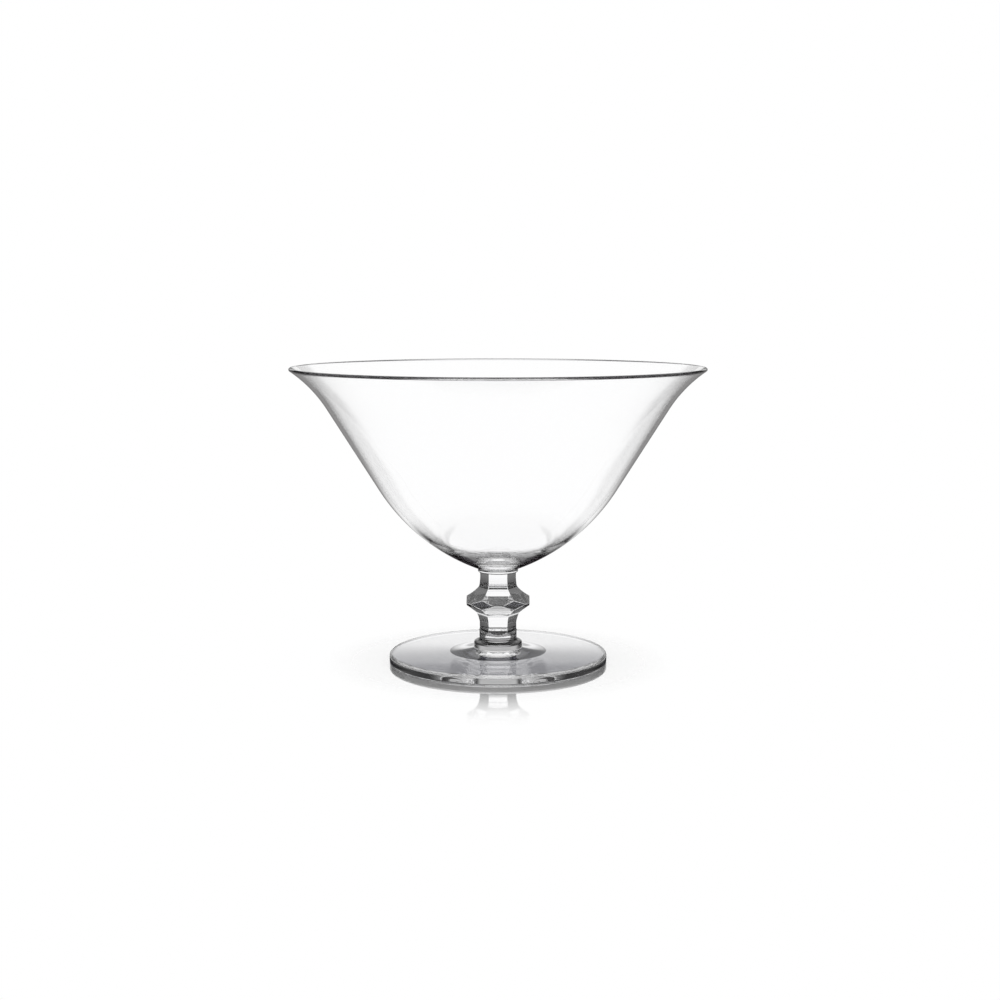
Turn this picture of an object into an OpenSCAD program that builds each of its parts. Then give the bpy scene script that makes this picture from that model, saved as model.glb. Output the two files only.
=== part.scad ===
// Footed glass trifle bowl: a flared bowl, a thin collar, a cut stem with a knop, a thicker collar and a disc foot,
// each a separate gather of glass fused face to face to the next. Lengths are in millimetres.
// The origin is the centre of the foot's underside and +Z is up. Profiles are drawn as [radius, height].

/* [Bowl] */
// Outer diameter at the lip
rim_d = 250; // [235:1:290]
// Height of the bowl from its seat to the top of the lip
bowl_h = 123; // [108:1:150]
// Thickness of the wall and of the rounded lip
wall_t = 2; // [1.6:0.1:4.5]
// Thickness of the glass at the middle of the bowl's floor
floor_t = 5.6; // [5:0.1:12]
// Diameter, at mid wall, where the straight part of the wall starts
belly_d = 142.7; // [124:0.1:158]
// Height above the seat where the straight part of the wall starts
belly_h = 50; // [40:1:62]
// How far the lip stands out past the line of the straight wall
flare_out = 7.5; // [3:0.5:16]
// Height of the flared part below the lip
flare_h = 23; // [14:0.5:34]

/* [Bowl collar] */
// Thickness of the collar between the stem and the bowl
bowl_collar_h = 1.8; // [1.2:0.1:4]
// How far that collar stands out past the corners of the stem
bowl_collar_stand = 1.2; // [0.5:0.05:3]
// Radius of both edges of that collar
bowl_collar_edge_r = 0.8; // [0.2:0.05:0.9]

/* [Stem] */
// Distance across the long flats above the neck
stem_w = 19.5; // [14:0.1:21]
// Distance across the flats under the bowl's collar
stem_top_w = 19.2; // [14:0.1:26]
// Height of the stem from its lower collar to the knop
lower_stem_h = 17; // [14.5:0.1:30]
// Height of the round neck at the base, up to where the flats have their full width
neck_h = 6.8; // [4:0.1:8]
// Height of the part below the knop where the flats splay out
splay_h = 5.8; // [2:0.1:6.5]
// Height of the stem from the knop to the upper collar
upper_stem_h = 8.8; // [5:0.1:18]
// Radius of the round flare where the stem meets its lower collar
base_flare_r = 1.8; // [0.6:0.1:3]

/* [Knop] */
// Distance across the flats at the lower end of the knop
knop_low_w = 22.6; // [20:0.1:30]
// Distance across the flats where the knop's upper and lower facets meet
girdle_w = 41.8; // [38.5:0.1:43.5]
// Distance across the flats where the knop's upper facets change slope
crown_w = 28.8; // [22:0.1:36]
// Distance across the flats at the upper end of the knop
knop_top_w = 20; // [15:0.1:27]
// Distance across the small facets that cut off the knop's corners
corner_facet_w = 38.4; // [36.5:0.1:43]
// Height of the knop's lower facets
knop_lower_h = 7.5; // [5:0.1:12]
// Height of the knop's upper facets below their change of slope
crown_low_h = 4.6; // [2:0.1:8]
// Height of the knop's upper facets above their change of slope
crown_top_h = 4.6; // [2:0.1:8]

/* [Foot collar] */
// Thickness of the collar between the stem and the foot
foot_collar_h = 4.5; // [3.4:0.1:8]
// How far that collar stands out past the base of the stem
foot_collar_stand = 1.55; // [1.5:0.05:5]
// Radius of its upper edge
foot_collar_top_r = 1.5; // [0.4:0.1:1.5]
// Radius of its lower edge
foot_collar_low_r = 0.5; // [0.2:0.1:1.5]

/* [Foot] */
// Diameter of the foot
foot_d = 133; // [110:1:160]
// Height of the foot's outer edge
foot_edge_h = 5; // [3.5:0.1:5.6]
// Height of the foot under the collar
foot_h = 7.8; // [6.6:0.1:14]
// Diameter at which the foot starts to rise towards the collar
dome_d = 59; // [40:1:100]
// Height of the foot's upper face where that rise starts
dome_start_h = 5.7; // [5:0.1:6.5]
// Radius of the foot's upper edge
shoulder_r = 1.4; // [0.5:0.1:2.4]
// Radius of the foot's lower edge
heel_r = 0.8; // [0.3:0.1:1]

/* [Hidden] */
$fn = 240;
glass_tint = [0.87, 0.90, 0.92];
glass_alpha = 0.45;

// A stem of six flats, with the first flat turned to face the front
flat_count = 6;
flat_step = 360 / flat_count;
front_turn = 90;
// How far the round neck stands clear of the corners of the flats
neck_clear = 0.15;
// How far the shapes that cut the stem run past its blank
overrun = 2;
// How far a clipping wedge reaches, as a share of the radius that it clips
wedge_reach_share = 1.5;

// Heights above the base of the stem
splay_z = lower_stem_h - splay_h;
girdle_z = lower_stem_h + knop_lower_h;
crown_z = girdle_z + crown_low_h;
knop_top_z = crown_z + crown_top_h;
stem_h = knop_top_z + upper_stem_h;

// The turned blank of the stem, clear of the corners of its flats
neck_r = corner_radius(stem_w / 2) + neck_clear;
stem_base_r = neck_r + base_flare_r;
blank_r = corner_radius(girdle_w / 2);

// Right half of the outline between two opposite flats, from below the stem's base to above its top
flat_outline = [
    [stem_w / 2 + neck_h + overrun, -overrun], [stem_w / 2, neck_h], [stem_w / 2, splay_z],
    [knop_low_w / 2, lower_stem_h], [girdle_w / 2, girdle_z], [crown_w / 2, crown_z],
    [knop_top_w / 2, knop_top_z], [stem_top_w / 2, stem_h], [stem_top_w / 2, stem_h + overrun]
];

// The stack of pieces, from the foot up
bowl_collar_r = corner_radius(stem_top_w / 2) + bowl_collar_stand;
foot_collar_r = stem_base_r + foot_collar_stand;
foot_collar_z = foot_h;
stem_z = foot_collar_z + foot_collar_h;
bowl_collar_z = stem_z + stem_h;
bowl_z = bowl_collar_z + bowl_collar_h;

// Middle of the bowl's wall: the lip, the foot of the straight part, where its line ends level with the lip,
// and the foot of the flare
lip = [(rim_d - wall_t) / 2, bowl_z + bowl_h - wall_t / 2];
straight_foot = [belly_d / 2, bowl_z + belly_h];
wall_end = lip - [flare_out, 0];
wall_up = unit(wall_end - straight_foot);
flare_foot = wall_end - wall_up * flare_h / wall_up[1];
wall_out = [wall_up[1], -wall_up[0]];
half_wall = wall_out * wall_t / 2;
wall_key = wall_up * wall_t / 2;

// The flare's arc leaves the straight part smoothly and ends at the lip
flare_r = tangent_radius(flare_foot, lip, wall_out);
flare_centre = flare_foot + wall_out * flare_r;

// The belly's outer arc leaves the straight part smoothly and ends at the edge of the seat
seat_edge = [bowl_collar_r - bowl_collar_edge_r, bowl_z];
belly_top = straight_foot + half_wall;
belly_r = tangent_radius(belly_top, seat_edge, -wall_out);
belly_centre = belly_top - wall_out * belly_r;
inner_belly_r = belly_r - wall_t;

// The floor's arc is centred on the axis and runs smoothly into the inner face of the belly
floor_z = bowl_z + floor_t;
floor_drop = belly_centre[1] - floor_z;
floor_r = (pow(inner_belly_r, 2) - pow(belly_centre[0], 2) - pow(floor_drop, 2))
    / (2 * (inner_belly_r - floor_drop));
floor_centre = [0, floor_z + floor_r];

// The arc by which the foot rises to its collar
dome_start = [dome_d / 2, dome_start_h];
dome_end = [foot_collar_r, foot_h];
shoulder_end = [foot_d / 2 - shoulder_r, foot_edge_h];
foot_inward = unit(dome_start - shoulder_end);
foot_up = [foot_inward[1], -foot_inward[0]];
dome_r = tangent_radius(dome_start, dome_end, foot_up);
dome_centre = dome_start + foot_up * dome_r;

// Direction of a vector
function unit(v) = v / norm(v);

// Radius of the arc that touches a line at point p, with normal n there, and ends at point q
function tangent_radius(p, q, n) = (q - p) * (q - p) / (2 * ((q - p) * n));

// The same outline on the other side of the axis, in reverse order
function mirrored(points) = [for (i = [len(points) - 1 : -1 : 0]) [-points[i][0], points[i][1]]];

// Distance from the axis to the corners of a ring of flats, from the distance to the flats
function corner_radius(apothem) = apothem / cos(flat_step / 2);

// Wedge between two directions from a centre, wider than a circle of radius r
module wedge(centre, from, to, r) {
    reach = r * wedge_reach_share;
    polygon([centre, centre + unit(from) * reach, centre + unit(to) * reach]);
}

// Profile of a disc with rounded edges, from the axis out
module disc_profile(r, h, low_r, top_r) {
    polygon([
        [0, 0], [r - low_r, 0], [r - low_r, low_r], [r, low_r],
        [r, h - top_r], [r - top_r, h - top_r], [r - top_r, h], [0, h]
    ]);
    translate([r - low_r, low_r]) circle(r = low_r);
    translate([r - top_r, h - top_r]) circle(r = top_r);
}

// Part of a profile that is a box less the disc of a wheel
module hollowed_box(low, high, wheel_centre, wheel_r) {
    difference() {
        translate(low) square(high - low);
        translate(wheel_centre) circle(r = wheel_r);
    }
}

// Flared part of the wall, with its rounded lip
module flare_profile() {
    intersection() {
        difference() {
            translate(flare_centre) circle(r = flare_r + wall_t / 2);
            translate(flare_centre) circle(r = flare_r - wall_t / 2);
        }
        wedge(flare_centre, lip - flare_centre, -wall_out, flare_r);
    }
    translate(lip) circle(d = wall_t);
}

// Straight part of the wall, with pointed ends that run into the flare and the belly
module straight_profile() {
    polygon([
        straight_foot + half_wall, flare_foot + half_wall, flare_foot + wall_key,
        flare_foot - half_wall, straight_foot - half_wall, straight_foot - wall_key
    ]);
}

// Rounded belly with the thick floor of the bowl, down to the seat
module belly_profile() {
    reach = belly_r * wedge_reach_share;
    axis_point = [0, belly_centre[1] - belly_centre[0] * wall_out[1] / wall_out[0]];
    intersection() {
        difference() {
            translate(belly_centre) circle(r = belly_r);
            translate(floor_centre) circle(r = floor_r);
            intersection() {
                translate(belly_centre) circle(r = inner_belly_r);
                wedge(belly_centre, floor_centre - belly_centre, wall_out + wall_up, belly_r);
            }
        }
        polygon([[0, bowl_z], [reach, bowl_z], belly_centre + wall_out * reach, axis_point]);
    }
}

// Turned blank that the flats are cut into, round and flared at the base
module stem_blank() {
    rotate_extrude() {
        hollowed_box([0, 0], [stem_base_r, base_flare_r], [stem_base_r, base_flare_r], base_flare_r);
        translate([0, base_flare_r]) square([neck_r, neck_h - base_flare_r]);
        translate([0, neck_h]) square([blank_r, stem_h - neck_h]);
    }
}

// Flared bowl with a thick floor
module bowl() {
    color(glass_tint, glass_alpha)
        rotate_extrude() {
            flare_profile();
            straight_profile();
            belly_profile();
        }
}

// Thin round collar between the stem and the bowl
module bowl_collar() {
    color(glass_tint, glass_alpha)
        translate([0, 0, bowl_collar_z])
            rotate_extrude()
                disc_profile(bowl_collar_r, bowl_collar_h, bowl_collar_edge_r, bowl_collar_edge_r);
}

// Solid stem with six long flats and a faceted knop
module cut_stem() {
    color(glass_tint, glass_alpha)
        translate([0, 0, stem_z])
            intersection() {
                faceted_form();
                stem_blank();
            }
}

// Everything inside the planes of all the flats and facets
module faceted_form() {
    intersection() {
        flat_pair(front_turn);
        flat_pair(front_turn + flat_step);
        flat_pair(front_turn + 2 * flat_step);
        corner_facets();
    }
}

// Six upright planes that cut off the knop's corners
module corner_facets() {
    rotate(flat_step / 2)
        translate([0, 0, -overrun])
            linear_extrude(stem_h + 2 * overrun)
                circle(r = corner_radius(corner_facet_w / 2), $fn = flat_count);
}

// What is left between one opposite pair of flats, turned about the axis
module flat_pair(turn) {
    rotate(turn)
        rotate([90, 0, 0])
            linear_extrude(2 * (blank_r + overrun), center = true)
                polygon(concat(flat_outline, mirrored(flat_outline)));
}

// Round collar between the stem and the foot
module foot_collar() {
    color(glass_tint, glass_alpha)
        translate([0, 0, foot_collar_z])
            rotate_extrude()
                disc_profile(foot_collar_r, foot_collar_h, foot_collar_low_r, foot_collar_top_r);
}

// Disc foot with a flat underside, rising gently to the collar
module foot() {
    side_r = foot_d / 2;
    shoulder_centre = shoulder_end - [0, shoulder_r];
    color(glass_tint, glass_alpha)
        rotate_extrude() {
            hollowed_box([0, 0], [dome_start[0], foot_h], dome_centre, dome_r);
            polygon([
                [dome_start[0], 0], [side_r - heel_r, 0], [side_r - heel_r, heel_r], [side_r, heel_r],
                [side_r, shoulder_centre[1]], shoulder_centre, shoulder_end, dome_start
            ]);
            translate([side_r - heel_r, heel_r]) circle(r = heel_r);
            translate(shoulder_centre) circle(r = shoulder_r);
        }
}

bowl();
bowl_collar();
cut_stem();
foot_collar();
foot();
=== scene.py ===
"""Dresses a packed trifle bowl as clear blown and cut glass with painted shade at its edges, on a pale
floor with a painted shadow under the foot, in soft studio light.
"""
import logging
import math
from dataclasses import dataclass
from enum import Enum

import bmesh
import bpy
from bmesh.types import BMEdge, BMesh, BMVert
from bpy.types import Material, MeshPolygon, Node, NodeSocket, NodeTree, Object
from mathutils import Matrix, Vector


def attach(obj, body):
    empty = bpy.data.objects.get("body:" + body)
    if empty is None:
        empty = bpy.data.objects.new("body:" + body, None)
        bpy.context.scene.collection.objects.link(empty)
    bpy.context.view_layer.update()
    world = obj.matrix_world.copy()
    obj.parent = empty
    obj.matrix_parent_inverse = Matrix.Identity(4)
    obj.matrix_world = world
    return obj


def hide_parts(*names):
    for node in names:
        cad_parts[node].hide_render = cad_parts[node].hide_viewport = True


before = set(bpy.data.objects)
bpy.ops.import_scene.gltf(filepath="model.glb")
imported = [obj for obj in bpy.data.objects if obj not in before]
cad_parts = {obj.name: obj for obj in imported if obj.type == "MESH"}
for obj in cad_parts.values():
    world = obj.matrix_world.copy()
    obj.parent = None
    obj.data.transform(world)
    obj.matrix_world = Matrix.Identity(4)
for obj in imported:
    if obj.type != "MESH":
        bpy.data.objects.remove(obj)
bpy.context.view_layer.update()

Colour = tuple[float, float, float]

MM = 0.001
UP = Vector((0.0, 0.0, 1.0))
ACROSS = Vector((0.0, 1.0, 0.0))
ORIGIN = Vector((0.0, 0.0, 0.0))
FULL_TURN = 2.0 * math.pi
BODY = "root"
MERGE_GAP = 0.0005 * MM
FLAT_COUNT = 6
FLAT_STEP = FULL_TURN / FLAT_COUNT
ROUND_SHARP = math.radians(20.0)
CUT_SHARP = math.radians(9.0)
BOUNCES = 256
WHITE: Colour = (1.0, 1.0, 1.0)
CLEAR: Colour = (0.98, 0.98, 0.985)

# The Mix node lists sockets for every kind of data. These are the places of the ones for colours.
MIX_SHARE = 0
MIX_FIRST = 6
MIX_LAST = 7
MIX_RESULT = 2

log = logging.getLogger("trifle_bowl")


class Slot(Enum):
    """Material slots of the record, one of which is passed along with each piece."""

    BLOWN = "blown_glass"
    CUT = "cut_glass"
    COLLAR = "collar_glass"
    FOOT = "foot_glass"


def at(radius: float, height: float) -> Vector:
    """Return the point of a turned profile at a radius and a height, both in millimetres."""
    return Vector((radius * MM, 0.0, height * MM))


def corner_radius(apothem: float) -> float:
    """Return the distance from the axis to the corners of a ring of flats."""
    return apothem / math.cos(FLAT_STEP / 2.0)


def flat_turn(point: Vector) -> float:
    """Return the angle between a point's direction and the middle of the nearest flat."""
    angle = math.atan2(point.x, -point.y)
    return angle - round(angle / FLAT_STEP) * FLAT_STEP


def flat_point(point: Vector, apothem: float) -> Vector:
    """Move a point along its radius to a ring of flats at a distance in millimetres from the axis."""
    return point.xy.normalized() * apothem * MM / math.cos(flat_turn(point))


def tangent_radius(touch: Vector, end: Vector, normal: Vector) -> float:
    """Give the radius of the arc that leaves a line smoothly and ends at a point.

    Args:
        touch: where the arc touches the line.
        end: where the arc ends.
        normal: the line's unit normal, on the side of the arc's centre.

    Returns:
        The radius, in the unit of the points.
    """
    chord = end - touch
    return chord.dot(chord) / (2.0 * chord.dot(normal))


class ProfilePen:
    """Draws the profile of a turned piece in the XZ plane, one run after another."""

    def __init__(self, mesh: BMesh, start: Vector) -> None:
        """Put the pen down at the start of the profile."""
        self.mesh = mesh
        self.tip = bmesh.ops.create_vert(mesh, co=start)["vert"][0]

    def line_to(self, end: Vector, steps: int = 1) -> None:
        """Draw a straight run.

        Args:
            end: where the run ends.
            steps: how many edges it has.
        """
        start = self.tip.co.copy()
        for step in range(1, steps + 1):
            made = bmesh.ops.extrude_vert_indiv(self.mesh, verts=[self.tip])
            self.tip = made["verts"][0]
            self.tip.co = start.lerp(end, step / steps)

    def arc(self, centre: Vector, angle: float, steps: int) -> None:
        """Draw an arc.

        Args:
            centre: centre of the arc.
            angle: signed turn about the Y axis, in radians.
            steps: how many edges it has.
        """
        made = bmesh.ops.spin(self.mesh, geom=[self.tip], cent=centre, axis=ACROSS, angle=angle,
                              steps=steps)
        self.tip = next(part for part in made["geom_last"] if isinstance(part, BMVert))

    def arc_to(self, centre: Vector, end: Vector, steps: int) -> None:
        """Draw the shorter arc about a centre to a point.

        Args:
            centre: centre of the arc.
            end: where the arc ends.
            steps: how many edges it has.
        """
        before = self.tip.co - centre
        after = end - centre
        self.arc(centre, math.atan2(before.cross(after).dot(ACROSS), before.dot(after)), steps)


def turn_profile(mesh: BMesh, steps: int) -> None:
    """Turn the drawn profile about the axis of the bowl.

    Args:
        mesh: holds the profile, which becomes a closed skin if it starts and ends on the axis.
        steps: how many faces go round the skin.
    """
    bmesh.ops.spin(mesh, geom=mesh.verts[:] + mesh.edges[:], cent=ORIGIN, axis=UP, angle=FULL_TURN,
                   steps=steps, use_merge=True)
    bmesh.ops.remove_doubles(mesh, verts=mesh.verts[:], dist=MERGE_GAP)
    bmesh.ops.recalc_face_normals(mesh, faces=mesh.faces[:])


def make_piece(mesh: BMesh, name: str, sharp_angle: float) -> Object:
    """Turn a finished bmesh into an object of the scene.

    Args:
        mesh: the piece's mesh, which is freed.
        name: the object's name.
        sharp_angle: edges that turn by more than this stay sharp, in radians.

    Returns:
        The new object, at the origin.
    """
    for face in mesh.faces:
        face.smooth = True
    for edge in mesh.edges:
        edge.smooth = edge.calc_face_angle(0.0) < sharp_angle
    data = bpy.data.meshes.new(name)
    mesh.to_mesh(data)
    mesh.free()
    piece = bpy.data.objects.new(name, data)
    bpy.context.scene.collection.objects.link(piece)
    return piece


class NodePen:
    """Adds and links the nodes of one shader tree."""

    def __init__(self, tree: NodeTree) -> None:
        """Start with an empty tree."""
        tree.nodes.clear()
        self.tree = tree

    def add(self, kind: str, **settings: object) -> Node:
        """Add a node.

        Args:
            kind: the node's type name.
            settings: attributes of the node by name.

        Returns:
            The new node.
        """
        node = self.tree.nodes.new(kind)
        for key, value in settings.items():
            setattr(node, key, value)
        return node

    def plug(self, socket: NodeSocket, value: object) -> None:
        """Link an output socket to an input, or set the input to a plain value.

        Args:
            socket: the input.
            value: the output socket or the value.
        """
        if isinstance(value, NodeSocket):
            self.tree.links.new(value, socket)
        else:
            socket.default_value = value

    def feed(self, target: Node, **inputs: object) -> Node:
        """Set or link inputs of a node, with underscores for spaces in their names.

        Args:
            target: the node that takes the inputs.
            inputs: a value or an output socket for each named input.

        Returns:
            The same node.
        """
        for key, value in inputs.items():
            self.plug(target.inputs[key.replace("_", " ")], value)
        return target

    def sum_of(self, operation: str, *terms: object) -> NodeSocket:
        """Work out one arithmetic step.

        Args:
            operation: name of the math node's operation.
            terms: a number or an output socket for each input in turn.

        Returns:
            The output socket.
        """
        node = self.add("ShaderNodeMath", operation=operation)
        for socket, value in zip(node.inputs, terms):
            self.plug(socket, value)
        return node.outputs[0]

    def ramp(self, value: NodeSocket, low: float, high: float, first: float = 0.0,
             last: float = 1.0) -> NodeSocket:
        """Map a value smoothly from one range to another.

        Args:
            value: the socket to map.
            low: value at which the result is first.
            high: value at which the result is last.
            first: result at and below low.
            last: result at and above high.

        Returns:
            The output socket.
        """
        node = self.add("ShaderNodeMapRange", interpolation_type="SMOOTHSTEP")
        self.feed(node, Value=value, From_Min=low, From_Max=high, To_Min=first, To_Max=last)
        return node.outputs[0]

    def blend(self, share: NodeSocket, first: object, last: object) -> NodeSocket:
        """Blend two colours.

        Args:
            share: socket that runs from 0, all of the first colour, to 1, all of the last.
            first: colour or output socket at 0.
            last: colour or output socket at 1.

        Returns:
            The colour's output socket.
        """
        node = self.add("ShaderNodeMix", data_type="RGBA")
        self.plug(node.inputs[MIX_SHARE], share)
        for place, value in ((MIX_FIRST, first), (MIX_LAST, last)):
            self.plug(node.inputs[place], value if isinstance(value, NodeSocket) else (*value, 1.0))
        return node.outputs[MIX_RESULT]

    def mix(self, share: NodeSocket, first: Node, last: Node) -> Node:
        """Mix two shaders.

        Args:
            share: socket that runs from 0, all of the first shader, to 1, all of the last.
            first: shader at 0.
            last: shader at 1.

        Returns:
            The node that mixes them.
        """
        node = self.add("ShaderNodeMixShader")
        for socket, value in zip(node.inputs, (share, first.outputs[0], last.outputs[0])):
            self.plug(socket, value)
        return node


@dataclass(frozen=True)
class PaintedEdgeShade:
    """Painted shade: how glass darkens as it turns away from the view, from 0 where it faces it to 1
    edge-on.

    The tone comes in from start to full and goes out again from fade_from to fade_to. The turn
    counts for less by lean where the surface leans down, and by level where it lies flat.
    """

    tint: Colour
    start: float
    full: float
    lean: float = 0.0
    level: float = 0.0
    fade_from: float = 2.0
    fade_to: float = 3.0

    def share(self, pen: NodePen) -> NodeSocket:
        """Work out how far the tone has come in.

        Args:
            pen: draws the finish's nodes.

        Returns:
            The share of the tone, from 0 to 1.
        """
        facing = pen.add("ShaderNodeLayerWeight").outputs["Facing"]
        normal = pen.add("ShaderNodeNewGeometry").outputs["Normal"]
        rise = pen.feed(pen.add("ShaderNodeSeparateXYZ"), Vector=normal).outputs["Z"]
        down = pen.sum_of("MULTIPLY", pen.sum_of("MINIMUM", rise, 0.0), self.lean)
        flat = pen.sum_of("MULTIPLY", pen.sum_of("ABSOLUTE", rise), self.level)
        turn = pen.sum_of("SUBTRACT", pen.sum_of("ADD", facing, down), flat)
        return pen.sum_of("MULTIPLY", pen.ramp(turn, self.start, self.full),
                          pen.ramp(turn, self.fade_from, self.fade_to, 1.0, 0.0))


@dataclass(frozen=True)
class PaintedLowShade:
    """A second painted edge shade that glass takes on only at its thick low end. Heights are in metres."""

    tone: PaintedEdgeShade
    low_z: float
    high_z: float


@dataclass(frozen=True)
class GlassFinish:
    """Clear glass with the faint ripple and haze of its making, and painted shade at its edges. The
    ripple's height is in metres.
    """

    name: str
    tint: Colour
    edge: PaintedEdgeShade
    ior: float = 1.52
    ripple_scale: float = 40.0
    ripple_height: float = 0.00002
    ripple_detail: float = 1.0
    haze_finer: float = 6.0
    haze_detail: float = 3.0
    haze_from: float = 0.5
    haze_to: float = 0.9
    roughest: float = 0.0035
    low_shades: tuple[PaintedLowShade, ...] = ()

    def make(self) -> Material:
        """Build the glass as a node material on Object coordinates.

        Returns:
            The material.
        """
        material = bpy.data.materials.new(self.name)
        material.use_nodes = True
        pen = NodePen(material.node_tree)
        spot = pen.add("ShaderNodeTexCoord").outputs["Object"]
        ripple = pen.feed(pen.add("ShaderNodeTexNoise"), Vector=spot, Scale=self.ripple_scale,
                          Detail=self.ripple_detail)
        bump = pen.feed(pen.add("ShaderNodeBump"), Height=ripple.outputs[0], Strength=1.0,
                        Distance=self.ripple_height)
        haze = pen.feed(pen.add("ShaderNodeTexNoise"), Vector=spot, Detail=self.haze_detail,
                        Scale=self.ripple_scale * self.haze_finer)
        rough = pen.ramp(haze.outputs[0], self.haze_from, self.haze_to, 0.0, self.roughest)
        # The base colour takes the painted edge shade, and low down each painted low shade.
        tone = pen.blend(self.edge.share(pen), self.tint, self.edge.tint)
        for layer in self.low_shades:
            height = pen.feed(pen.add("ShaderNodeSeparateXYZ"), Vector=spot).outputs["Z"]
            low = pen.ramp(height, layer.low_z, layer.high_z, 1.0, 0.0)
            share = pen.sum_of("MULTIPLY", low, layer.tone.share(pen))
            tone = pen.blend(share, tone, layer.tone.tint)
        shader = pen.feed(pen.add("ShaderNodeBsdfPrincipled"), IOR=self.ior, Transmission_Weight=1.0,
                          Base_Color=tone, Roughness=rough, Normal=bump.outputs[0])
        pen.feed(pen.add("ShaderNodeOutputMaterial"), Surface=shader.outputs[0])
        return material


@dataclass(frozen=True)
class FusedFinish:
    """The hidden face where two gathers are fused, which light crosses unchanged."""

    name: str = "fused_joint"

    def make(self) -> Material:
        """Build the face's material, which is see-through.

        Returns:
            The material.
        """
        material = bpy.data.materials.new(self.name)
        material.use_nodes = True
        pen = NodePen(material.node_tree)
        shader = pen.feed(pen.add("ShaderNodeBsdfPrincipled"), Base_Color=(*WHITE, 1.0), Alpha=0.0,
                          Transmission_Weight=1.0, Roughness=0.0)
        pen.feed(pen.add("ShaderNodeOutputMaterial"), Surface=shader.outputs[0])
        return material


@dataclass(frozen=True)
class Glasses:
    """The materials that the pieces are dressed with."""

    joint: Material
    blown: Material
    lip: Material
    cut: Material
    corner: Material
    crease: Material
    bevel: Material
    collar: Material
    ring: Material
    foot: Material
    dome: Material
    foot_edge: Material


def make_glasses() -> Glasses:
    """Build the glass of every part of the pieces, each with a painted edge shade of its own.

    Returns:
        The materials by name.
    """
    # Painted dark crescents in the bowl's thick floor, and painted shade low on its wall.
    floor_painted_shade = PaintedLowShade(PaintedEdgeShade((0.005, 0.004, 0.005), -1.60, -1.54, level=2.6), 0.068, 0.076)
    low_wall_painted_shade = PaintedLowShade(PaintedEdgeShade((0.02, 0.018, 0.02), -0.02, 0.10, level=1.0), 0.066, 0.079)
    # Painted dark outline where the bowl's wall turns edge-on.
    blown = GlassFinish("blown_glass", (0.998, 0.998, 1.0), PaintedEdgeShade((0.03, 0.03, 0.031), 0.86, 0.94),
                        ior=1.5, ripple_scale=18.0, ripple_height=0.00004, low_shades=(floor_painted_shade, low_wall_painted_shade))
    # Painted dark line along the rim.
    lip = GlassFinish("lip_glass", (0.99, 0.99, 1.0),
                      PaintedEdgeShade((0.012, 0.011, 0.013), 0.01, 0.07, lean=0.4),
                      ior=1.5, ripple_scale=18.0)
    # Painted dark sides on the stem's flats.
    cut = GlassFinish("cut_glass", CLEAR, PaintedEdgeShade((0.010, 0.0098, 0.010), 0.20, 0.31, lean=0.4),
                      ripple_scale=60.0, ripple_height=0.00001)
    # Painted shade that keeps the knop's corner facets dark at nearly every angle.
    corner = GlassFinish("corner_facet_glass", CLEAR, PaintedEdgeShade((0.004, 0.004, 0.005), 0.01, 0.10),
                         ripple_scale=60.0, ripple_height=0.00001)
    # Painted dark lines in the stem's creases, on their near side.
    crease = GlassFinish("crease_glass", CLEAR, PaintedEdgeShade((0.01, 0.01, 0.01), -0.1, 0.0, lean=2.0))
    # The bevels are clear glass with only a faint painted edge shade.
    bevel = GlassFinish("bevel_glass", WHITE, PaintedEdgeShade((0.9, 0.9, 0.9), 0.8, 1.0))
    # Painted dark edges on the collars.
    collar = GlassFinish("collar_glass", CLEAR, PaintedEdgeShade((0.003, 0.003, 0.004), 0.40, 0.75))
    # Painted dark rings at the collars' edges and at the stem's base.
    ring = GlassFinish("ring_glass", CLEAR, PaintedEdgeShade((0.001, 0.001, 0.001), 0.02, 0.20))
    # Only a faint painted edge shade on the foot.
    foot = GlassFinish("foot_glass", (0.99, 0.99, 0.995), PaintedEdgeShade((0.97, 0.97, 0.98), 0.5, 0.9),
                       ripple_scale=25.0, ripple_height=0.00003)
    # Painted dark lobes on the foot's dome, in a band of turns.
    dome = GlassFinish("dome_glass", CLEAR,
                       PaintedEdgeShade((0.004, 0.004, 0.006), 0.61, 0.66, fade_from=0.77, fade_to=0.83),
                       ripple_scale=25.0, ripple_height=0.00003)
    # Painted dark band along the foot's edge.
    foot_edge = GlassFinish("foot_edge_glass", CLEAR, PaintedEdgeShade((0.003, 0.003, 0.004), 0.06, 0.26),
                            ripple_scale=25.0, ripple_height=0.00003)
    return Glasses(joint=FusedFinish().make(), blown=blown.make(), lip=lip.make(), cut=cut.make(),
                   corner=corner.make(), crease=crease.make(), bevel=bevel.make(),
                   collar=collar.make(), ring=ring.make(), foot=foot.make(), dome=dome.make(),
                   foot_edge=foot_edge.make())


@dataclass(frozen=True)
class FaceZone:
    """A part of a piece that has a material of its own, bounded in millimetres.

    Its flattest face is the one whose normal rises or falls most, from 0 upright to 1 level.
    """

    material: Material
    low_z: float
    high_z: float
    least_r: float = 0.0
    most_r: float = 1000.0
    flattest: float = 1.0
    slack: float = 0.01

    def holds(self, point: Vector) -> bool:
        """Tell whether a point, in millimetres, lies in the zone."""
        level = self.low_z - self.slack < point.z < self.high_z + self.slack
        return level and self.least_r - self.slack < point.xy.length < self.most_r + self.slack

    def takes(self, face: MeshPolygon, points: list[Vector]) -> bool:
        """Tell whether a face belongs to the zone.

        Args:
            face: the face.
            points: its corners, in millimetres.

        Returns:
            True if all corners lie in the zone and the face is no flatter than the zone allows.
        """
        upright = abs(face.normal.z) <= self.flattest + self.slack
        return upright and all(self.holds(point) for point in points)


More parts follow.
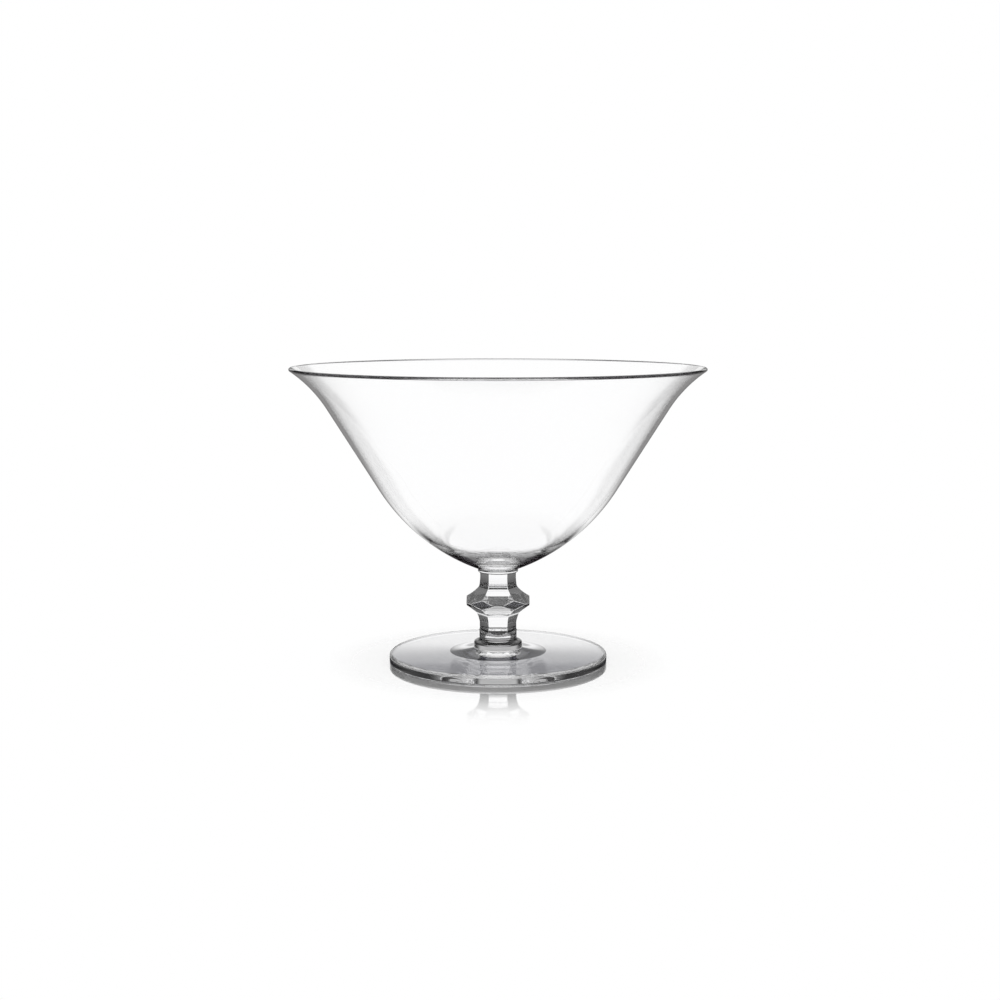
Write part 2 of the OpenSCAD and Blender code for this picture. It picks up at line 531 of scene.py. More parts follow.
def dress_faces(piece: Object, glasses: list[Material], zones: list[FaceZone]) -> None:
    """Give a piece its glass, and the faces of each zone theirs.

    Args:
        piece: the piece to dress.
        glasses: materials of the faces outside the zones, by the index that the piece was built with.
        zones: the parts with a material of their own, where a later one goes over an earlier one.
    """
    for glass in glasses:
        piece.data.materials.append(glass)
    for index, zone in enumerate(zones, start=len(glasses)):
        piece.data.materials.append(zone.material)
        for face in piece.data.polygons:
            points = [piece.data.vertices[corner].co / MM for corner in face.vertices]
            if zone.takes(face, points):
                face.material_index = index


def place(piece: Object, node: str, slot: Slot) -> None:
    """Let a piece stand for a CAD node.

    Args:
        piece: the dressed piece.
        node: the node that it replaces.
        slot: the record's slot that its finish belongs to; not used.
    """
    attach(piece, BODY)
    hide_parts(node)
    log.info("%s: %d faces", piece.name, len(piece.data.polygons))


@dataclass
class BlownBowl:
    """The flared bowl with its rounded lip and thick floor. Sizes are in millimetres."""

    seat_z: float = 56.6
    height: float = 123.0
    rim_d: float = 250.0
    wall: float = 2.0
    floor: float = 5.6
    belly_d: float = 142.7
    belly_h: float = 50.0
    flare_out: float = 7.5
    flare_h: float = 23.0
    seat_r: float = 11.485
    floor_steps: int = 36
    inner_belly_steps: int = 20
    wall_steps: int = 10
    flare_steps: int = 20
    lip_steps: int = 16
    outer_belly_steps: int = 44
    steps_round: int = 288

    def build(self) -> Object:
        """Draw the bowl's profile from the middle of its floor over the lip to its seat, and turn it.

        Returns:
            The bowl as a closed piece.
        """
        lip = at((self.rim_d - self.wall) / 2.0, self.seat_z + self.height - self.wall / 2.0)
        straight_foot = at(self.belly_d / 2.0, self.seat_z + self.belly_h)
        wall_end = lip - at(self.flare_out, 0.0)
        up = (wall_end - straight_foot).normalized()
        out = Vector((up.z, 0.0, -up.x))
        half = out * self.wall * MM / 2.0
        flare_foot = wall_end - up * self.flare_h * MM / up.z
        flare_r = tangent_radius(flare_foot, lip, out)
        flare_centre = flare_foot + out * flare_r
        lip_out = (lip - flare_centre).normalized() * self.wall * MM / 2.0
        belly_top = straight_foot + half
        seat_edge = at(self.seat_r, self.seat_z)
        belly_r = tangent_radius(belly_top, seat_edge, -out)
        belly_centre = belly_top - out * belly_r
        inner_r = belly_r - self.wall * MM
        floor_low = at(0.0, self.seat_z + self.floor)
        drop = belly_centre.z - floor_low.z
        floor_r = (inner_r ** 2 - belly_centre.x ** 2 - drop ** 2) / (2.0 * (inner_r - drop))
        floor_centre = floor_low + UP * floor_r
        floor_edge = belly_centre + (floor_centre - belly_centre).normalized() * inner_r

        mesh = bmesh.new()
        pen = ProfilePen(mesh, floor_low)
        pen.arc_to(floor_centre, floor_edge, self.floor_steps)
        pen.arc_to(belly_centre, straight_foot - half, self.inner_belly_steps)
        pen.line_to(flare_foot - half, self.wall_steps)
        pen.arc_to(flare_centre, lip + lip_out, self.flare_steps)
        pen.arc(lip, math.pi, self.lip_steps)
        pen.arc_to(flare_centre, flare_foot + half, self.flare_steps)
        pen.line_to(belly_top, self.wall_steps)
        pen.arc_to(belly_centre, seat_edge, self.outer_belly_steps)
        pen.line_to(at(0.0, self.seat_z))
        turn_profile(mesh, self.steps_round)
        return make_piece(mesh, "bowl_glass", ROUND_SHARP)

    def dress(self, piece: Object, glass: Glasses) -> None:
        """Give the bowl its glass, and its seat and the outer half of its lip theirs.

        Args:
            piece: the bowl.
            glass: the materials to dress it with.
        """
        rim_z = self.seat_z + self.height
        lip_r = (self.rim_d - self.wall) / 2.0
        dress_faces(piece, [glass.blown], [
            FaceZone(glass.joint, self.seat_z, self.seat_z),
            # The outer half of the lip takes the glass with the painted dark rim line.
            FaceZone(glass.lip, rim_z - self.wall, rim_z, least_r=lip_r),
        ])
        place(piece, "bowl", Slot.BLOWN)


@dataclass
class TurnedCollar:
    """A round collar between two gathers. Sizes are in millimetres."""

    name: str
    low_z: float
    height: float
    radius: float
    low_edge_r: float
    top_edge_r: float
    upper_joint_r: float
    flat_below: float = 0.0
    edge_steps: int = 10
    steps_round: int = 192

    def build(self) -> Object:
        """Draw the collar's profile from the top down, turn it and close its underside.

        Returns:
            The collar as a closed piece.
        """
        top_z = self.low_z + self.height
        low_r = self.radius - self.low_edge_r
        top_r = self.radius - self.top_edge_r
        top_edge_z = top_z - self.top_edge_r
        low_edge_z = self.low_z + self.low_edge_r
        mesh = bmesh.new()
        pen = ProfilePen(mesh, at(0.0, top_z))
        if self.upper_joint_r < top_r:
            pen.line_to(at(self.upper_joint_r, top_z))
        pen.line_to(at(top_r, top_z))
        pen.arc_to(at(top_r, top_edge_z), at(self.radius, top_edge_z), self.edge_steps)
        pen.line_to(at(self.radius, low_edge_z))
        pen.arc_to(at(low_r, low_edge_z), at(low_r, self.low_z), self.edge_steps)
        turn_profile(mesh, self.steps_round)
        rim = [edge for edge in mesh.edges if edge.is_boundary]
        if self.flat_below:
            made = bmesh.ops.extrude_edge_only(mesh, edges=rim)["geom"]
            for vert in (part for part in made if isinstance(part, BMVert)):
                vert.co.xy = flat_point(vert.co, self.flat_below)
            rim = [part for part in made if isinstance(part, BMEdge) and part.is_boundary]
        bmesh.ops.holes_fill(mesh, edges=rim)
        bmesh.ops.recalc_face_normals(mesh, faces=mesh.faces[:])
        return make_piece(mesh, self.name, ROUND_SHARP)


@dataclass
class BowlCollar(TurnedCollar):
    """The thin collar under the bowl, whose underside meets the stem's flats."""

    name: str = "bowl_collar_glass"
    low_z: float = 54.8
    height: float = 1.8
    radius: float = 12.285
    low_edge_r: float = 0.8
    top_edge_r: float = 0.8
    upper_joint_r: float = 11.485
    flat_below: float = 9.6
    ring_h: float = 0.55
    low_ring_r: float = 10.0
    top_ring_r: float = 11.5
    ring_flattest: float = 0.999

    def dress(self, piece: Object, glass: Glasses) -> None:
        """Give the collar its glass, and its joints and the rings of its two edges theirs.

        Args:
            piece: the collar.
            glass: the materials to dress it with.
        """
        top_z = self.low_z + self.height
        dress_faces(piece, [glass.collar], [
            FaceZone(glass.joint, top_z, top_z),
            FaceZone(glass.joint, self.low_z, self.low_z, most_r=corner_radius(self.flat_below)),
            # The rings of both edges take the glass with painted dark rings.
            FaceZone(glass.ring, self.low_z, self.low_z + self.ring_h, least_r=self.low_ring_r,
                     flattest=self.ring_flattest),
            FaceZone(glass.ring, top_z - self.ring_h, top_z, least_r=self.top_ring_r,
                     flattest=self.ring_flattest),
        ])
        place(piece, "bowl_collar", Slot.COLLAR)


@dataclass
class FootCollar(TurnedCollar):
    """The thicker collar between the stem and the foot."""

    name: str = "foot_collar_glass"
    low_z: float = 7.8
    height: float = 4.5
    radius: float = 14.758
    low_edge_r: float = 0.5
    top_edge_r: float = 1.5
    upper_joint_r: float = 13.208

    def dress(self, piece: Object, glass: Glasses) -> None:
        """Give the collar its glass, and its joints and the ring of its top edge theirs.

        Args:
            piece: the collar.
            glass: the materials to dress it with.
        """
        top_z = self.low_z + self.height
        dress_faces(piece, [glass.collar], [
            FaceZone(glass.joint, top_z, top_z, most_r=self.upper_joint_r),
            FaceZone(glass.joint, self.low_z, self.low_z),
            # The ring of the top edge takes the glass with a painted dark ring.
            FaceZone(glass.ring, top_z - self.top_edge_r, top_z, least_r=self.radius - self.top_edge_r),
        ])
        place(piece, "foot_collar", Slot.COLLAR)


@dataclass(frozen=True)
class FlatRing:
    """A ring of the stem's flats, and the hollow and step count of the run of flats down to it."""

    height: float
    width: float
    hollow: float = 0.0
    steps: int = 0


@dataclass
class CutStem:
    """The solid stem with its hollow-ground flats and faceted knop.

    Sizes are in millimetres. All heights but low_z are above the stem's base.
    """

    low_z: float = 12.3
    neck_r: float = 11.408
    base_r: float = 13.208
    base_flare_r: float = 1.8
    base_flattest: float = 0.98
    neck_h: float = 6.8
    knop_from: float = 17.7
    knop_to: float = 32.7
    corner_facet_w: float = 38.4
    corner_least_r: float = 15.0
    corner_flattest: float = 0.05
    columns: int = 24
    run_out_steps: int = 6
    flare_steps: int = 8
    bevel_w: float = 0.35
    crease_w: float = 1.2
    bevel_angle: float = math.radians(15.0)
    plane_angle: float = math.radians(0.05)
    slack: float = 0.01

    def levels(self) -> list[FlatRing]:
        """List the rings of flats from the top down.

        Returns:
            The rings at which one run of flats meets the next.
        """
        return [
            FlatRing(42.5, 19.2),
            FlatRing(33.7, 20.0, hollow=0.25, steps=10),
            FlatRing(29.1, 28.8, hollow=0.35, steps=8),
            FlatRing(24.5, 41.8, steps=4),
            FlatRing(17.0, 22.6, hollow=0.5, steps=10),
            FlatRing(11.2, 19.5, hollow=0.2, steps=8),
            FlatRing(self.neck_h, 19.5, steps=3),
        ]

    def build(self) -> Object:
        """Loft the flats from the top down, round the neck, and cut off the knop's corners.

        Returns:
            The stem as a closed piece.
        """
        levels = self.levels()
        mesh = bmesh.new()
        ring = self.first_ring(mesh, levels[0])
        bmesh.ops.holes_fill(mesh, edges=ring)
        for upper, lower in zip(levels, levels[1:]):
            for step in range(1, lower.steps + 1):
                share = step / lower.steps
                height = upper.height + (lower.height - upper.height) * share
                width = upper.width + (lower.width - upper.width) * share
                sag = 4.0 * lower.hollow * share * (1.0 - share)
                ring = self.next_ring(mesh, ring, height, width / 2.0 - sag)
        ring = self.round_neck(mesh, ring, levels[-1].width / 2.0)
        bmesh.ops.holes_fill(mesh, edges=ring)
        bmesh.ops.recalc_face_normals(mesh, faces=mesh.faces[:])
        self.cut_corners(mesh)
        self.ease_edges(mesh)
        return make_piece(mesh, "cut_stem_glass", CUT_SHARP)

    def first_ring(self, mesh: BMesh, level: FlatRing) -> list[BMEdge]:
        """Draw the top ring of flats, with one of them to the front.

        Args:
            mesh: the stem's mesh, still empty.
            level: the ring to draw.

        Returns:
            The ring's edges.
        """
        radius = corner_radius(level.width / 2.0) * MM
        bmesh.ops.create_circle(mesh, cap_ends=False, radius=radius, segments=FLAT_COUNT)
        bmesh.ops.rotate(mesh, verts=mesh.verts[:], cent=ORIGIN,
                         matrix=Matrix.Rotation(self.turn_to_front(mesh), 3, "Z"))
        bmesh.ops.subdivide_edges(mesh, edges=mesh.edges[:], cuts=self.columns - 1)
        bmesh.ops.translate(mesh, verts=mesh.verts[:], vec=UP * (self.low_z + level.height) * MM)
        return mesh.edges[:]

    def turn_to_front(self, mesh: BMesh) -> float:
        """Give the turn that brings the middle of one side of a six-sided ring to the front.

        Args:
            mesh: holds only the corners of the ring.

        Returns:
            The turn about the axis, in radians.
        """
        mesh.verts.ensure_lookup_table()
        first = mesh.verts[0].co
        return -math.pi / 2.0 + FLAT_STEP / 2.0 - math.atan2(first.y, first.x)

    def next_ring(self, mesh: BMesh, ring: list[BMEdge], height: float, apothem: float,
                  round_r: float | None = None) -> list[BMEdge]:
        """Extrude the last ring to a new height and width.

        Args:
            mesh: the stem's mesh.
            ring: edges of the last ring.
            height: height of the new ring above the stem's base.
            apothem: distance from the axis to its flats.
            round_r: radius that rounds the ring off, the neck's if none is given.

        Returns:
            The new ring's edges.
        """
        limit = (round_r or self.neck_r) * MM
        made = bmesh.ops.extrude_edge_only(mesh, edges=ring)["geom"]
        for vert in (part for part in made if isinstance(part, BMVert)):
            flat = flat_point(vert.co, apothem)
            if height < self.neck_h and flat.length > limit:
                flat = flat.normalized() * limit
            vert.co = (flat.x, flat.y, (self.low_z + height) * MM)
        return [part for part in made if isinstance(part, BMEdge)]

    def round_neck(self, mesh: BMesh, ring: list[BMEdge], apothem: float) -> list[BMEdge]:
        """Run the flats out into the round neck, and flare the neck out to the stem's base.

        Args:
            mesh: the stem's mesh.
            ring: edges of the lowest ring of flats.
            apothem: distance from the axis to its flats.

        Returns:
            Edges of the ring at the base.
        """
        run_out = self.neck_r - apothem
        for step in range(1, self.run_out_steps + 1):
            fall = run_out * step / self.run_out_steps
            ring = self.next_ring(mesh, ring, self.neck_h - fall, apothem + fall)
        ring = self.next_ring(mesh, ring, self.base_flare_r, self.neck_r)
        for step in range(1, self.flare_steps + 1):
            angle = step / self.flare_steps * math.pi / 2.0
            height = self.base_flare_r * (1.0 - math.sin(angle))
            round_r = self.base_r - self.base_flare_r * math.cos(angle)
            ring = self.next_ring(mesh, ring, height, self.base_r, round_r)
        return ring

    def cut_corners(self, mesh: BMesh) -> None:
        """Cut the small facets at the knop's corners.

        Args:
            mesh: the stem's closed mesh.
        """
        for index in range(FLAT_COUNT):
            angle = FLAT_STEP * (index + 0.5) - math.pi / 2.0
            normal = Vector((math.cos(angle), math.sin(angle), 0.0))
            made = bmesh.ops.bisect_plane(mesh, geom=mesh.verts[:] + mesh.edges[:] + mesh.faces[:],
                                          dist=MERGE_GAP, plane_co=normal * self.corner_facet_w / 2.0 * MM,
                                          plane_no=normal, clear_outer=True)
            cut = [part for part in made["geom_cut"] if isinstance(part, BMEdge)]
            bmesh.ops.holes_fill(mesh, edges=cut)

    def ease_edges(self, mesh: BMesh) -> None:
        """Join the strips that lie in one plane, ease the creases and bevel the edges above the neck.

        Args:
            mesh: the stem's closed mesh.
        """
        bmesh.ops.dissolve_limit(mesh, angle_limit=self.plane_angle, verts=mesh.verts[:],
                                 edges=mesh.edges[:], delimit=set())
        # Faces of the eased creases get index 1, the glass with painted dark crease lines; those of the
        # bevels get index 2.
        for index, (convex, width) in enumerate(((False, self.crease_w), (True, self.bevel_w)), start=1):
            edges = [edge for edge in mesh.edges if edge.is_convex == convex and self.is_cut(edge)]
            made = bmesh.ops.bevel(mesh, geom=edges, offset=width * MM, offset_type="WIDTH", affect="EDGES",
                                   segments=2, profile=0.5, material=-1, clamp_overlap=False)
            for face in made["faces"]:
                face.material_index = index
            log.info("cut_stem_glass: %d eased edges, convex %s", len(edges), convex)

    def is_cut(self, edge: BMEdge) -> bool:
        """Tell whether an edge lies between two flats.

        Args:
            edge: an edge of the stem.

        Returns:
            True if it is sharp and starts above the neck and below the top.
        """
        low = (self.low_z + self.neck_h - self.slack) * MM
        high = (self.low_z + self.levels()[0].height - self.slack) * MM
        start = min(vert.co.z for vert in edge.verts)
        return low < start < high and abs(edge.calc_face_angle_signed(0.0)) > self.bevel_angle

    def dress(self, piece: Object, glass: Glasses) -> None:
        """Give the stem its glass, and its joints, the knop's corner facets and the base theirs.

        Args:
            piece: the stem.
            glass: the materials to dress it with.
        """
        top_z = self.low_z + self.levels()[0].height
        # The flats take painted dark sides, the eased creases painted dark lines, and the bevels clear
        # glass.
        dress_faces(piece, [glass.cut, glass.crease, glass.bevel], [
            FaceZone(glass.joint, top_z, top_z),
            FaceZone(glass.joint, self.low_z, self.low_z),
            # The knop's corner facets take the glass that is painted dark at nearly every angle.
            FaceZone(glass.corner, self.low_z + self.knop_from, self.low_z + self.knop_to,
                     least_r=self.corner_least_r, flattest=self.corner_flattest),
            # The flared base takes the glass with a painted dark ring.
            FaceZone(glass.ring, self.low_z, self.low_z + self.base_flare_r, flattest=self.base_flattest),
        ])
        place(piece, "cut_stem", Slot.CUT)


@dataclass
class DiscFoot:
    """The disc foot, which rises a little towards its collar. Sizes are in millimetres."""

    diameter: float = 133.0
    edge_h: float = 5.0
    height: float = 7.8
    dome_r: float = 29.5
    dome_h: float = 5.7
    collar_r: float = 14.758
    joint_r: float = 14.258
    shoulder_r: float = 1.4
    heel_r: float = 0.8
    dome_steps: int = 24
    flat_steps: int = 12
    shoulder_steps: int = 12
    edge_steps: int = 2
    heel_steps: int = 8
    steps_round: int = 288

    def build(self) -> Object:
        """Draw the foot's profile from the middle of its top over the edge to its underside, and turn it.

        Returns:
            The foot as a closed piece.
        """
        side = self.diameter / 2.0
        shoulder_z = self.edge_h - self.shoulder_r
        dome_start = at(self.dome_r, self.dome_h)
        shoulder_end = at(side - self.shoulder_r, self.edge_h)
        inward = (dome_start - shoulder_end).normalized()
        up = Vector((inward.z, 0.0, -inward.x))
        dome_end = at(self.collar_r, self.height)
        dome_centre = dome_start + up * tangent_radius(dome_start, dome_end, up)

        mesh = bmesh.new()
        pen = ProfilePen(mesh, at(0.0, self.height))
        pen.line_to(at(self.joint_r, self.height))
        pen.line_to(dome_end)
        pen.arc_to(dome_centre, dome_start, self.dome_steps)
        pen.line_to(shoulder_end, self.flat_steps)
        pen.arc_to(at(side - self.shoulder_r, shoulder_z), at(side, shoulder_z), self.shoulder_steps)
        pen.line_to(at(side, self.heel_r), self.edge_steps)
        pen.arc_to(at(side - self.heel_r, self.heel_r), at(side - self.heel_r, 0.0), self.heel_steps)
        pen.line_to(at(0.0, 0.0), self.flat_steps)
        turn_profile(mesh, self.steps_round)
        return make_piece(mesh, "foot_glass", ROUND_SHARP)

    def dress(self, piece: Object, glass: Glasses) -> None:
        """Give the foot its glass, and its joint, its dome and its edge theirs.

        Args:
            piece: the foot.
            glass: the materials to dress it with.
        """
        dress_faces(piece, [glass.foot], [
            FaceZone(glass.joint, self.height, self.height, most_r=self.joint_r),
            # The dome takes the glass with painted dark lobes.
            FaceZone(glass.dome, self.dome_h, self.height, least_r=self.collar_r, most_r=self.dome_r),
            # The edge below the shoulder takes the glass with a painted dark band.
            FaceZone(glass.foot_edge, 0.0, self.edge_h - self.shoulder_r,
                     least_r=self.diameter / 2.0 - self.heel_r),
        ])
        place(piece, "foot", Slot.FOOT)


@dataclass
class PhotoCamera:
    """The camera at the photograph's viewing angle.

    Distances are in metres, the tilt is in degrees, and the lens and its sensor are in millimetres.
    """

    place: tuple[float, float, float] = (0.0012, -0.9587, 0.2230)
    tilt: float = 82.619
    lens: float = 57.28
    sensor: float = 36.0
    nearest: float = 0.01

    def build(self) -> Object:
        """Make the camera and give it to the scene.

        Returns:
            The camera.
        """
        data = bpy.data.cameras.new("photo_camera")
        data.lens = self.lens
        data.sensor_width = self.sensor
        data.clip_start = self.nearest
        camera = bpy.data.objects.new("photo_camera", data)
        camera.location = self.place
        camera.rotation_euler = (math.radians(self.tilt), 0.0, 0.0)
        bpy.context.scene.collection.objects.link(camera)
        bpy.context.scene.camera = camera
        return camera


@dataclass(frozen=True)
class FloorSpot:
    """What the floor's nodes know of a point and of the light path that ends there.

    Side and depth are how far it lies beside and behind the axis, and reach is how far it is from it.
    Mirrored is 1 after a glossy bounce, and through rises to 1 with the count of surfaces crossed.
    """

    side: NodeSocket
    depth: NodeSocket
    reach: NodeSocket
    mirrored: NodeSocket
    through: NodeSocket


@dataclass
class PaleFloor:
    """The pale polished floor, whose mirror image fades away from the foot, with a painted shadow under the
    foot and, around it, painted dark tones that only gloss shows. Sizes are in metres.
    """

    half_size: float = 40.0
    drop: float = 0.00015
    tone: Colour = (0.97, 0.97, 0.97)
    # The mirror image of the part.
    mirror: float = 0.76
    mirror_under: float = 0.13
    mirror_from: float = 0.060
    mirror_to: float = 0.155
    mirror_blur: float = 0.03
    # Painted reflections: darker tones of the open floor that only gloss shows, around the foot, close to
    # its two sides, and far away.
    near_tone: Colour = (0.75, 0.745, 0.745)
    near_from: float = 0.075
    near_to: float = 0.11
    side_tone: Colour = (0.06, 0.06, 0.065)
    side_from: float = 0.058
    side_to: float = 0.066
    side_close: float = 0.069
    side_away: float = 0.077
    far_tone: Colour = (0.28, 0.275, 0.275)
    far_from: float = 0.16
    far_to: float = 0.50
    # A dark strip painted on the floor behind the axis, which only gloss shows, so it darkens only
    # reflections.
    strip_tone: Colour = (0.015, 0.013, 0.014)
    strip_from: float = 0.010
    strip_to: float = 0.050
    strip_end: float = 0.150
    strip_out: float = 0.260
    strip_half: float = 0.080
    strip_edge: float = 0.130
    # Painted shadow on the floor under the foot, dark at the front: its tones from front to back, through
    # the stem, and in gloss.
    under_from: float = 0.0630
    under_to: float = 0.0655
    under_half: float = 0.045
    under_front: Colour = (0.21, 0.212, 0.245)
    under_back: Colour = WHITE
    under_stem: Colour = (0.04, 0.04, 0.04)
    crossed_from: float = 2.0
    crossed_to: float = 4.0
    under_mirrored: float = 0.6
    under_belly: Colour = (0.08, 0.08, 0.085)
    belly_from: float = 0.030
    belly_to: float = 0.045
    # Where the floor stops taking shade.
    shade_from: float = 0.068
    shade_to: float = 0.110

    def build(self) -> Object:
        """Make the floor.

        Returns:
            The floor.
        """
        mesh = bmesh.new()
        bmesh.ops.create_grid(mesh, x_segments=1, y_segments=1, size=self.half_size)
        bmesh.ops.translate(mesh, verts=mesh.verts[:], vec=-UP * self.drop)
        floor = make_piece(mesh, "floor", math.pi)
        floor.data.materials.append(self.finish())
        return floor

    def finish(self) -> Material:
        """Build the floor's material: pale, with a mirror image that fades away from the axis, a painted
        shadow under the foot and painted dark tones that only gloss shows.

        Returns:
            The material.
        """
        material = bpy.data.materials.new("pale_floor")
        material.use_nodes = True
        pen = NodePen(material.node_tree)
        spot = self.find_spot(pen)
        # Where the painted shadow under the foot and the painted tones for gloss alone lie.
        under = pen.ramp(spot.reach, self.under_from, self.under_to, 1.0, 0.0)
        around = pen.ramp(spot.reach, self.near_from, self.near_to, 1.0, 0.0)
        near = pen.sum_of("MULTIPLY", spot.mirrored, around)
        strip = self.strip_share(pen, spot)
        toned = pen.sum_of("MAXIMUM", near, strip)
        tone = pen.blend(strip, self.open_tone(pen, spot, near), self.strip_tone)
        tone = pen.blend(under, tone, self.under_tone(pen, spot))
        # The floor glows with these tones, the painted shadow and painted reflections among them, where it
        # takes no real shade.
        glow = pen.feed(pen.add("ShaderNodeEmission"), Color=tone, Strength=1.0)
        pale = pen.feed(pen.add("ShaderNodeBsdfDiffuse"), Color=(*self.tone, 1.0))
        away = pen.sum_of("MAXIMUM", pen.ramp(spot.reach, self.shade_from, self.shade_to), under)
        flat = pen.mix(pen.sum_of("MAXIMUM", away, toned), pale, glow)
        gloss = pen.feed(pen.add("ShaderNodeBsdfGlossy"), Color=(*WHITE, 1.0), Roughness=self.mirror_blur)
        fade = pen.ramp(spot.reach, self.mirror_from, self.mirror_to, self.mirror, 0.0)
        kept = pen.ramp(spot.reach, self.under_from, self.under_to, self.mirror_under, 1.0)
        seen = pen.sum_of("SUBTRACT", 1.0, toned)
        share = pen.sum_of("MULTIPLY", pen.sum_of("MULTIPLY", fade, kept), seen)
        whole = pen.mix(share, flat, gloss)
        pen.feed(pen.add("ShaderNodeOutputMaterial"), Surface=whole.outputs[0])
        return material

    def find_spot(self, pen: NodePen) -> FloorSpot:
        """Measure the point that is shaded and the light path to it.

        Args:
            pen: draws the floor's nodes.

        Returns:
            The measures as sockets.
        """
        point = pen.add("ShaderNodeTexCoord").outputs["Object"]
        axes = pen.feed(pen.add("ShaderNodeSeparateXYZ"), Vector=point)
        length = pen.feed(pen.add("ShaderNodeVectorMath", operation="LENGTH"), Vector=point)
        path = pen.add("ShaderNodeLightPath")
        return FloorSpot(
            side=pen.sum_of("ABSOLUTE", axes.outputs["X"]),
            depth=axes.outputs["Y"],
            reach=length.outputs["Value"],
            mirrored=pen.sum_of("MINIMUM", path.outputs["Glossy Depth"], 1.0),
            through=pen.ramp(path.outputs["Transmission Depth"], self.crossed_from, self.crossed_to))

    def strip_share(self, pen: NodePen, spot: FloorSpot) -> NodeSocket:
        """Work out where gloss shows the painted dark strip.

        Args:
            pen: draws the floor's nodes.
            spot: the point that is shaded.

        Returns:
            The share of the strip, from 0 to 1.
        """
        start = pen.ramp(spot.depth, self.strip_from, self.strip_to)
        end = pen.ramp(spot.depth, self.strip_end, self.strip_out, 1.0, 0.0)
        across = pen.ramp(spot.side, self.strip_half, self.strip_edge, 1.0, 0.0)
        strip = pen.sum_of("MULTIPLY", pen.sum_of("MULTIPLY", start, across), end)
        return pen.sum_of("MULTIPLY", spot.mirrored, strip)

    def open_tone(self, pen: NodePen, spot: FloorSpot, near: NodeSocket) -> NodeSocket:
        """Work out the tone of the open floor, with the painted dark tones that only gloss shows near the
        foot and far away.

        Args:
            pen: draws the floor's nodes.
            spot: the point that is shaded.
            near: share of the floor around the foot.

        Returns:
            The colour's socket.
        """
        far = pen.sum_of("MULTIPLY", spot.mirrored, pen.ramp(spot.reach, self.far_from, self.far_to))
        sides = pen.sum_of("MULTIPLY", pen.ramp(spot.side, self.side_from, self.side_to),
                           pen.ramp(spot.reach, self.side_close, self.side_away, 1.0, 0.0))
        beside = pen.blend(sides, self.near_tone, self.side_tone)
        return pen.blend(near, pen.blend(far, WHITE, self.far_tone), beside)

    def under_tone(self, pen: NodePen, spot: FloorSpot) -> NodeSocket:
        """Work out the painted shadow on the floor under the foot.

        Args:
            pen: draws the floor's nodes.
            spot: the point that is shaded.

        Returns:
            The colour's socket.
        """
        back = pen.ramp(spot.depth, -self.under_half, self.under_half)
        plain = pen.blend(back, self.under_front, self.under_back)
        refracted = pen.blend(spot.through, plain, self.under_stem)
        lift = pen.sum_of("MULTIPLY", spot.mirrored, self.under_mirrored)
        belly = pen.sum_of("MULTIPLY", pen.ramp(spot.depth, self.belly_from, self.belly_to),
                           pen.sum_of("SUBTRACT", 1.0, spot.through))
        reflected = pen.blend(belly, pen.blend(lift, plain, WHITE), self.under_belly)
        return pen.blend(spot.mirrored, refracted, reflected)


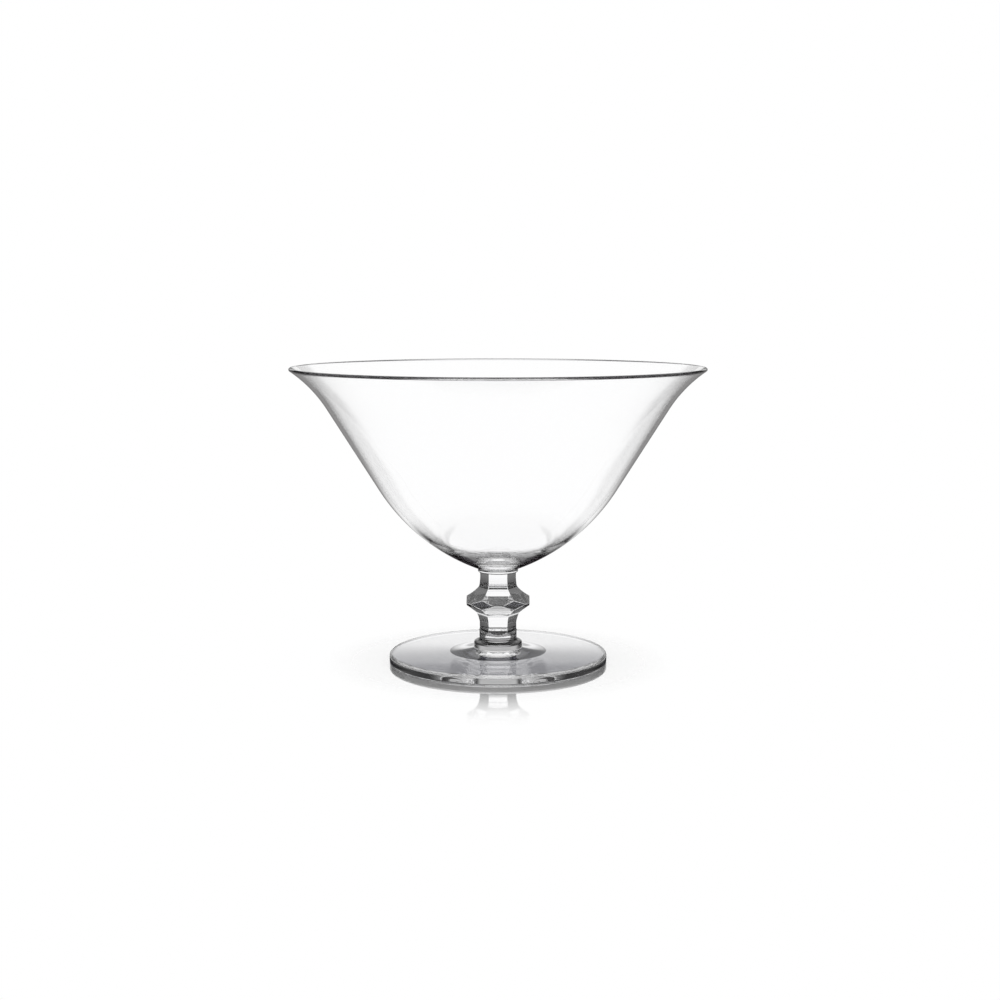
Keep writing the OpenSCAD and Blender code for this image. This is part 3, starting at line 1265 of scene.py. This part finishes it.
@dataclass
class Studio:
    """Soft light from all round, with white panels and dark cards that the glass shows.

    Heights in the sky run from 0 at the horizon to 1 overhead.
    """

    panels: int = 4
    panel_from: float = -0.55
    panel_to: float = 0.25
    card_tone: float = 0.02
    # Tones that gloss shows at the horizon, in a bright band above it, over the band, and inside glass.
    mirrored_tone: float = 0.25
    mirrored_band: float = 1.0
    mirrored_high: float = 0.52
    mirrored_inside: float = 0.45
    lift_from: float = 0.04
    lift_to: float = 0.12
    fall_from: float = 0.19
    fall_to: float = 0.235
    # Heights between which the panels and cards end and the plain white sky begins.
    low_to: float = 0.28
    high_from: float = 0.42

    def build(self) -> None:
        """Make the world and give it to the scene."""
        world = bpy.data.worlds.new("studio")
        bpy.context.scene.world = world
        world.use_nodes = True
        pen = NodePen(world.node_tree)
        way = pen.add("ShaderNodeTexCoord").outputs["Generated"]
        parts = pen.feed(pen.add("ShaderNodeSeparateXYZ"), Vector=way)
        height = parts.outputs["Z"]
        angle = pen.sum_of("ARCTAN2", parts.outputs["X"], parts.outputs["Y"])
        wave = pen.sum_of("COSINE", pen.sum_of("MULTIPLY", angle, float(self.panels)))
        panel = pen.ramp(wave, self.panel_from, self.panel_to, self.card_tone, 1.0)
        path = pen.add("ShaderNodeLightPath")
        glossy = pen.sum_of("MINIMUM", path.outputs["Glossy Depth"], 1.0)
        inside = pen.sum_of("MINIMUM", path.outputs["Transmission Depth"], 1.0)
        low_dim = pen.ramp(height, self.lift_from, self.lift_to, 1.0 - self.mirrored_tone,
                           1.0 - self.mirrored_band)
        high_dim = pen.ramp(height, self.fall_from, self.fall_to, 0.0,
                            self.mirrored_band - self.mirrored_high)
        inside_dim = pen.sum_of("MULTIPLY", inside, 1.0 - self.mirrored_inside)
        dim = pen.sum_of("MAXIMUM", pen.sum_of("ADD", low_dim, high_dim), inside_dim)
        mirrored = pen.sum_of("SUBTRACT", 1.0, pen.sum_of("MULTIPLY", glossy, dim))
        high = pen.ramp(height, self.low_to, self.high_from)
        tone = pen.sum_of("MAXIMUM", pen.sum_of("MULTIPLY", panel, mirrored), high)
        soft = pen.sum_of("SUBTRACT", 1.0, path.outputs["Is Singular Ray"])
        plain = pen.sum_of("MAXIMUM", path.outputs["Is Camera Ray"], soft)
        level = pen.sum_of("MAXIMUM", plain, tone)
        sky = pen.feed(pen.add("ShaderNodeBackground"), Color=(*WHITE, 1.0), Strength=level)
        pen.feed(pen.add("ShaderNodeOutputWorld"), Surface=sky.outputs[0])


def set_render() -> None:
    """Choose plain colours and enough bounces for light to cross the glass."""
    scene = bpy.context.scene
    scene.view_settings.view_transform = "Standard"
    scene.cycles.max_bounces = BOUNCES
    scene.cycles.transmission_bounces = BOUNCES
    scene.cycles.glossy_bounces = BOUNCES


def main() -> None:
    """Build the stage and every piece of glass in order."""
    logging.basicConfig(level=logging.INFO, format="%(name)s: %(message)s")
    set_render()
    PhotoCamera().build()
    PaleFloor().build()
    Studio().build()
    glass = make_glasses()
    for part in (BlownBowl(), BowlCollar(), CutStem(), FootCollar(), DiscFoot()):
        part.dress(part.build(), glass)


if __name__ == "__main__":
    main()
